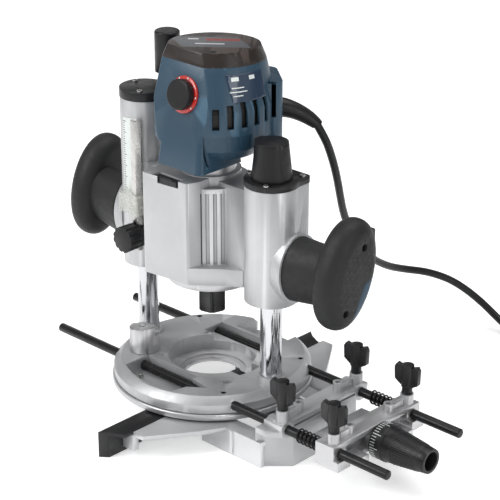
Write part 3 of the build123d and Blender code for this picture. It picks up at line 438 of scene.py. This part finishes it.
# ---- fine detail ------------------------------------------------------------
MOTOR_MIDDLE = 0.0025
MOTOR_R = 0.050
MOTOR_TOP = (0.0425, 0.0345)
MOTOR_TOP_TURN = math.radians(40)
SHOULDER_Z = 0.256
TAPER_HEIGHT = 0.034
GRIP_SCREWS = [(0.012, 0.163), (-0.009, 0.112)]
DOT_HEIGHT = 0.25 * MM
ADJUSTER_YZ = (0.002, 0.0065)
ADJUSTER_RING_X = 0.1888
DIAL_X = 0.0045
DIAL_Z = 0.266
FACE_LOW = (-0.048, 0.207)
FACE_HIGH = (-0.028, 0.289)


def add_piece(name, mesh, body, material):
    """A shown piece made of loose solids in one mesh, riding a body."""
    bmesh.ops.recalc_face_normals(mesh, faces=mesh.faces)
    data = bpy.data.meshes.new(name)
    mesh.to_mesh(data)
    mesh.free()
    piece = bpy.data.objects.new(name, data)
    piece.data.materials.append(material)
    bpy.context.scene.collection.objects.link(piece)
    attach(piece, body)
    return piece


def bar(mesh, frame_at, size, taper=1.0):
    """A small block in its own frame, narrower at its top when taper is under 1."""
    sx, sy, sz = (value / 2 for value in size)
    corners = []
    for z, scale in ((-sz, 1.0), (sz, taper)):
        for x, y in ((-sx, -sy), (sx, -sy), (sx, sy), (-sx, sy)):
            corners.append(mesh.verts.new(frame_at @ Vector((x * scale, y * scale, z))))
    for quad in ((3, 2, 1, 0), (4, 5, 6, 7), (0, 1, 5, 4), (1, 2, 6, 5), (2, 3, 7, 6), (3, 0, 4, 7)):
        mesh.faces.new([corners[i] for i in quad])


def stud(mesh, frame_at, radius, height, sides=12):
    """A low domed dot standing on its frame's XY plane."""
    rings = []
    for scale, z in ((1.0, -0.3 * height), (1.0, 0.35 * height), (0.72, 0.82 * height), (0.3, height)):
        ring = []
        for i in range(sides):
            angle = 2 * math.pi * i / sides
            ring.append(mesh.verts.new(frame_at @ Vector((
                radius * scale * math.cos(angle), radius * scale * math.sin(angle), z))))
        rings.append(ring)
    for low, high in zip(rings, rings[1:]):
        for i in range(sides):
            j = (i + 1) % sides
            mesh.faces.new((low[i], low[j], high[j], high[i]))
    mesh.faces.new(rings[-1])
    mesh.faces.new(list(reversed(rings[0])))


def frame_on(place, normal, along):
    """Frame with Z on the normal and X near a given direction."""
    z = Vector(normal).normalized()
    x = (Vector(along) - z * Vector(along).dot(z)).normalized()
    return Matrix.Translation(place) @ Matrix((x, z.cross(x), z)).transposed().to_4x4()


def surface_of(node):
    data = NODES[node].data
    return BVHTree.FromPolygons([v.co.copy() for v in data.vertices], [p.vertices[:] for p in data.polygons])


def add_grip_dots(node, side):
    """Rows of small raised dots over the face of a palm grip."""
    tree = surface_of(node)
    middle = Vector((0, 0.004, 0.139))
    tilt = math.radians(18)
    long_way = Vector((0, math.sin(tilt), math.cos(tilt)))
    wide_way = Vector((0, math.cos(tilt), -math.sin(tilt)))
    mesh = bmesh.new()
    for row in range(-7, 8):
        for column in range(-3, 4):
            u = row * 5.2 * MM
            v = (column + 0.5 * (row % 2)) * 6.4 * MM
            place = middle + long_way * u + wide_way * v
            on_inlay = place.y > -0.002 + max(place.z - 0.103, 0) * 0.45 and place.z < 0.139
            by_screw = any((place.y - y) ** 2 + (place.z - z) ** 2 < 0.0058 ** 2 for y, z in GRIP_SCREWS)
            if (u / 0.038) ** 2 + (v / 0.0205) ** 2 > 1 or on_inlay or by_screw:
                continue
            hit, normal, _, _ = tree.ray_cast(place + Vector((side * 0.3, 0, 0)), Vector((-side, 0, 0)))
            if hit:
                stud(mesh, frame_on(hit, normal, (0, 1, 0)), 0.95 * MM, DOT_HEIGHT)
    add_piece(node + "_dots", mesh, "carriage", MATERIALS["black_plastic"])


def add_adjuster_detail():
    """Graduations on the fine adjuster's ring and grip ribs along its cone."""
    y, z = ADJUSTER_YZ
    ticks, ribs = bmesh.new(), bmesh.new()
    for i in range(40):
        angle = math.radians(9 * i)
        outward = Vector((0, math.cos(angle), math.sin(angle)))
        length = (8.0 if i % 5 == 0 else 4.5) * MM
        place = Vector((ADJUSTER_RING_X + 1.2 * MM + length / 2, y, z)) + outward * 15.55 * MM
        bar(ticks, frame_on(place, outward, (1, 0, 0)), (length, 0.55 * MM, 0.2 * MM))
    low, high = 15.0 * MM, 10.5 * MM
    start, run = ADJUSTER_RING_X + 12 * MM, 40 * MM
    slope = Vector((run, 0, high - low)).normalized()
    for i in range(48):
        angle = math.radians(7.5 * i)
        outward = Vector((0, math.cos(angle), math.sin(angle)))
        place = Vector((start + run * 0.5, y, z)) + outward * (low + (high - low) * 0.5)
        along = Vector((slope.x, 0, 0)) + outward * slope.z
        normal = outward * slope.x - Vector((slope.z, 0, 0))
        bar(ribs, frame_on(place, normal, along), (run * 0.80, 0.75 * MM, 0.7 * MM), 0.7)
    add_piece("adjuster_graduations", ticks, "adjuster", MATERIALS["white_label"])
    add_piece("adjuster_ribs", ribs, "adjuster", MATERIALS["black_plastic"])


def add_dial_dots():
    """Pale position dots round the speed dial's ring."""
    low, high = Vector((0, *FACE_LOW)), Vector((0, *FACE_HIGH))
    up = (high - low).normalized()
    normal = Vector((1, 0, 0)).cross(up)
    t = (DIAL_Z - low.z) / (high.z - low.z)
    middle = Vector((DIAL_X, low.y + (high.y - low.y) * t, DIAL_Z))
    mesh = bmesh.new()
    for degrees in range(-40, 161, 40):
        angle = math.radians(degrees)
        outward = Vector((math.cos(angle), 0, 0)) + up * math.sin(angle)
        place = middle + outward * 13.9 * MM + normal * 2.0 * MM
        stud(mesh, frame_on(place, normal, (1, 0, 0)), 0.8 * MM, 0.25 * MM)
    add_piece("dial_dots", mesh, "carriage", MATERIALS["white_label"])


def add_slot_insert():
    """Black latch in the notch on top of the carriage's front block."""
    mesh = bmesh.new()
    bar(mesh, Matrix.Translation((-0.0098, -0.0402, 0.1897)), (25.5 * MM, 7.0 * MM, 4.6 * MM), 0.94)
    bar(mesh, Matrix.Translation((-0.0098, -0.0425, 0.1922)), (17.0 * MM, 1.4 * MM, 1.2 * MM), 0.8)
    piece = add_piece("block_latch", mesh, "carriage", MATERIALS["black_plastic"])
    soften(piece, 0.5 * MM)


def add_scale_marks():
    """Graduations of the depth scale."""
    tree = surface_of("depth_scale")
    mesh = bmesh.new()
    for i in range(36):
        z = (152.5 + 2.0 * i) * MM
        length = (3.6 if i % 5 == 0 else 2.0) * MM
        x = -78.2 * MM + length / 2
        hit, normal, _, _ = tree.ray_cast(Vector((x, -0.1, z)), Vector((0, 1, 0)))
        if hit:
            bar(mesh, frame_on(hit, normal, (1, 0, 0)), (length, 0.6 * MM, 0.12 * MM))
    add_piece("scale_marks", mesh, "carriage", MATERIALS["black_plastic"])


def motor_radius(angle, z):
    """Outer radius of the motor: round up to the shoulder, then drawn in to the top's oval."""
    half_length, half_width = MOTOR_TOP
    turned = angle - MOTOR_TOP_TURN
    across = math.hypot(math.cos(turned) * half_width, math.sin(turned) * half_length)
    oval = half_length * half_width / across
    rise = min(max((z - SHOULDER_Z) / TAPER_HEIGHT, 0.0), 1.0)
    return MOTOR_R + (oval - MOTOR_R) * rise


def add_vent_shade_sheet():
    """Dark inner wall that is seen through the vents: a black sheet of painted shade in place of the
    housing's dark inside.
    """
    mesh = bmesh.new()
    heights = [(239 + 3 * i) * MM for i in range(13)]
    rows = []
    for depth in (4.0 * MM, 5.0 * MM):
        for z in heights:
            row = []
            for step in range(31):
                angle = math.radians(-50 + 2.7 * step)
                r = motor_radius(angle, z) - depth
                x, y = MOTOR_MIDDLE + r * math.cos(angle), MOTOR_MIDDLE + r * math.sin(angle)
                row.append(mesh.verts.new((x, y, z)))
            rows.append(row)
    count = len(heights)
    for outer in (True, False):
        base = 0 if outer else count
        for low, high in zip(rows[base:base + count], rows[base + 1:base + count]):
            for i in range(30):
                mesh.faces.new((low[i], low[i + 1], high[i + 1], high[i]))
    for low, high in ((rows[0], rows[count]), (rows[count - 1], rows[-1])):
        for i in range(30):
            mesh.faces.new((low[i], low[i + 1], high[i + 1], high[i]))
    for i in (0, 30):
        for j in range(count - 1):
            mesh.faces.new((rows[j][i], rows[j + 1][i], rows[count + j + 1][i], rows[count + j][i]))
    add_piece("vent_shade_sheet", mesh, "carriage", MATERIALS["black_plastic"])


def add_plate_marks():
    """Plain pale blocks and lines on the rating plate, in place of its print."""
    tree = surface_of("rating_plate")
    mesh = bmesh.new()
    rows = [(281.5, -15, 10), (281.5, 6, 8), (275.0, -13, 16), (272.0, -13, 22), (269.0, -14, 12)]
    for z, centre, width in rows:
        for i in range(width):
            angle = math.radians(centre - 6 + (i - width / 2) * 0.9)
            away = Vector((math.cos(angle), math.sin(angle), 0))
            start = Vector((MOTOR_MIDDLE, MOTOR_MIDDLE, z * MM)) + away * 0.09
            hit, normal, _, _ = tree.ray_cast(start, -away)
            if hit:
                tall = 3.2 if z > 280 else 0.9
                bar(mesh, frame_on(hit, normal, (0, 0, 1)), (tall * MM, 0.62 * MM, 0.1 * MM))
    add_piece("plate_marks", mesh, "carriage", MATERIALS["white_label"])


# ---- stage ------------------------------------------------------------------
FLOOR_HALF = 12.0
WALL_COUNT = 5.0
WALL_PHASE = 0.8
WALL_DARK = 0.15
WALL_BRIGHT = 0.75
FLOOR_GLOW = 0.42


def add_floor():
    """Pale sweep that glows a little, as a lit background does."""
    mesh = bpy.data.meshes.new("floor")
    corners = [(x * FLOOR_HALF, y * FLOOR_HALF) for x, y in ((-1, -1), (1, -1), (1, 1), (-1, 1))]
    mesh.from_pydata([(x, y, FLOOR) for x, y in corners], [], [(0, 1, 2, 3)])
    floor = bpy.data.objects.new("floor", mesh)
    shader = Shader("floor", (0.88, 0.88, 0.88), 0.9)
    shader.mottle(1.5, 0.01).set(Emission_Color=(1, 1, 1, 1), Emission_Strength=FLOOR_GLOW)
    floor.data.materials.append(shader.material)
    bpy.context.scene.collection.objects.link(floor)


def add_area_light(name, place, aim, size, power):
    data = bpy.data.lights.new(name, "AREA")
    data.shape = "RECTANGLE"
    data.size, data.size_y = size
    data.energy = power
    light = bpy.data.objects.new(name, data)
    light.location = place
    light.rotation_euler = (Vector(aim) - Vector(place)).to_track_quat("-Z", "Y").to_euler()
    bpy.context.scene.collection.objects.link(light)


def add_world():
    """Studio with brighter and darker walls all round, so that metal shows its form."""
    world = bpy.data.worlds.new("studio")
    world.use_nodes = True
    tree = world.node_tree
    background = tree.nodes["Background"]
    coords = tree.nodes.new("ShaderNodeTexCoord")
    split = tree.nodes.new("ShaderNodeSeparateXYZ")
    tree.links.new(coords.outputs["Generated"], split.inputs["Vector"])
    angle = tree.nodes.new("ShaderNodeMath")
    angle.operation = "ARCTAN2"
    tree.links.new(split.outputs["Y"], angle.inputs[0])
    tree.links.new(split.outputs["X"], angle.inputs[1])
    wave = tree.nodes.new("ShaderNodeMath")
    wave.operation = "MULTIPLY_ADD"
    wave.inputs[1].default_value = WALL_COUNT
    wave.inputs[2].default_value = WALL_PHASE
    tree.links.new(angle.outputs["Value"], wave.inputs[0])
    sine = tree.nodes.new("ShaderNodeMath")
    sine.operation = "SINE"
    tree.links.new(wave.outputs["Value"], sine.inputs[0])
    tone = tree.nodes.new("ShaderNodeMapRange")
    limits = {"From Min": -0.7, "From Max": 0.7, "To Min": WALL_DARK, "To Max": WALL_BRIGHT}
    for key, value in limits.items():
        tone.inputs[key].default_value = value
    tree.links.new(sine.outputs["Value"], tone.inputs["Value"])
    tree.links.new(tone.outputs["Result"], background.inputs["Strength"])
    background.inputs["Color"].default_value = (1, 1, 1, 1)
    bpy.context.scene.world = world


def add_lights():
    add_world()
    aim = (0, 0, 0.12)
    add_area_light("key", (-0.55, -1.25, 1.15), aim, (0.9, 0.9), 17)
    add_area_light("fill", (1.6, -0.35, 0.75), aim, (0.5, 1.2), 6)
    add_area_light("top", (0.1, 0.3, 1.7), aim, (1.2, 1.2), 14)
    bpy.context.scene.view_settings.view_transform = "Standard"


add_camera()
cord = add_cord()
MATERIALS = make_materials()
dress_nodes(MATERIALS)
cord.data.materials.append(MATERIALS["cord_rubber"])
add_grip_dots("right_grip", 1)
add_grip_dots("left_grip", -1)
add_adjuster_detail()
add_dial_dots()
add_slot_insert()
add_scale_marks()
add_plate_marks()
add_vent_shade_sheet()
add_floor()
add_lights()
bpy.context.view_layer.update()
